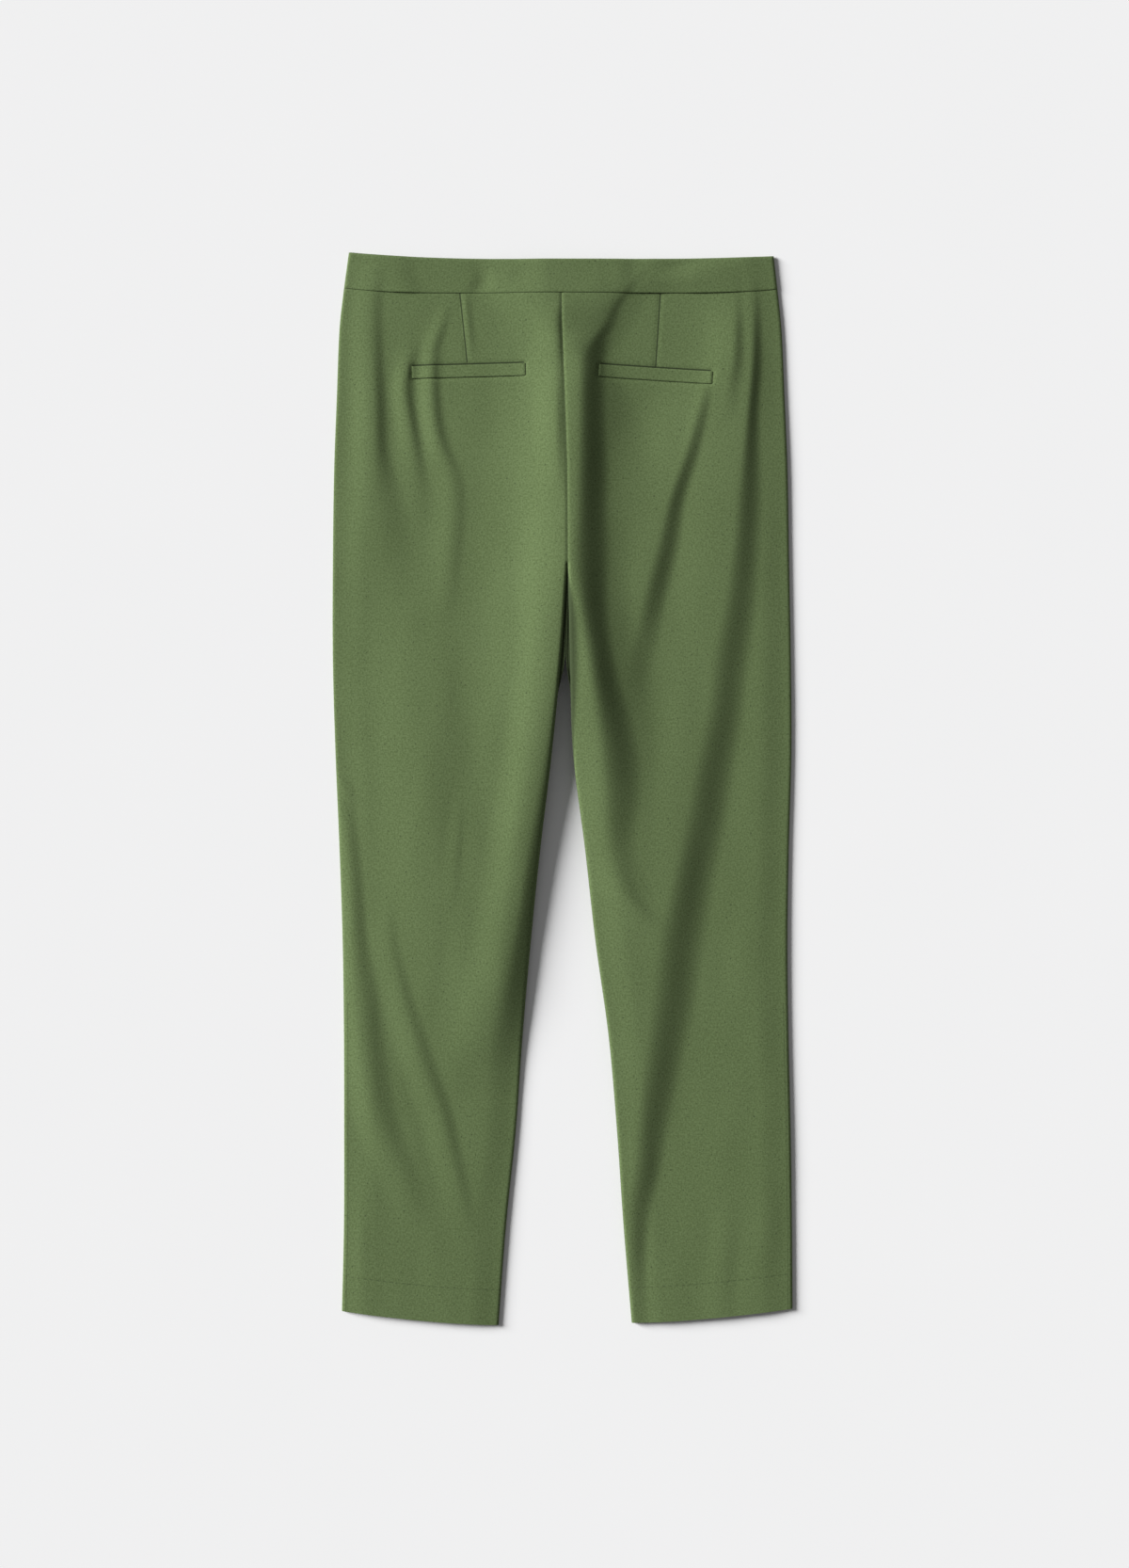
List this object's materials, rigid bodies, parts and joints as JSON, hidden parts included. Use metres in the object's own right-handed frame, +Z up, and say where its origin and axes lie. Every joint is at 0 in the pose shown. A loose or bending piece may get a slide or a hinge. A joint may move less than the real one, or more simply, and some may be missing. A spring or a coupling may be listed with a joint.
{
  "type": "chinos",
  "caption": "Tapered ankle-length chinos laid face down, with a plain waistband, welted back pockets, open waist and open hems.",
  "frame": {"origin": "middle of the garment's footprint, on the surface it lies on", "axes": "+Y from the hems to the waist, -X to the wearer's left, +Z up, away from the surface; the seat side faces up"},
  "size_m": [0.4299, 1.002, 0.0246],
  "materials": {
    "cloth": "matte olive green plain weave",
    "button": "satin, dyed to match",
    "zip": "matte woven tape",
    "metal": "satin"
  },
  "bodies": {
    "root": {"back_left": "cloth", "back_right": "cloth", "waistband_back": "cloth", "welt_left": "cloth", "welt_right": "cloth", "front_left": "cloth", "front_right": "cloth", "waistband_front_left": "cloth", "waistband_front_right": "cloth", "zip": "zip", "zip_slider": "metal", "button": "button"}
  },
  "joints": []
}
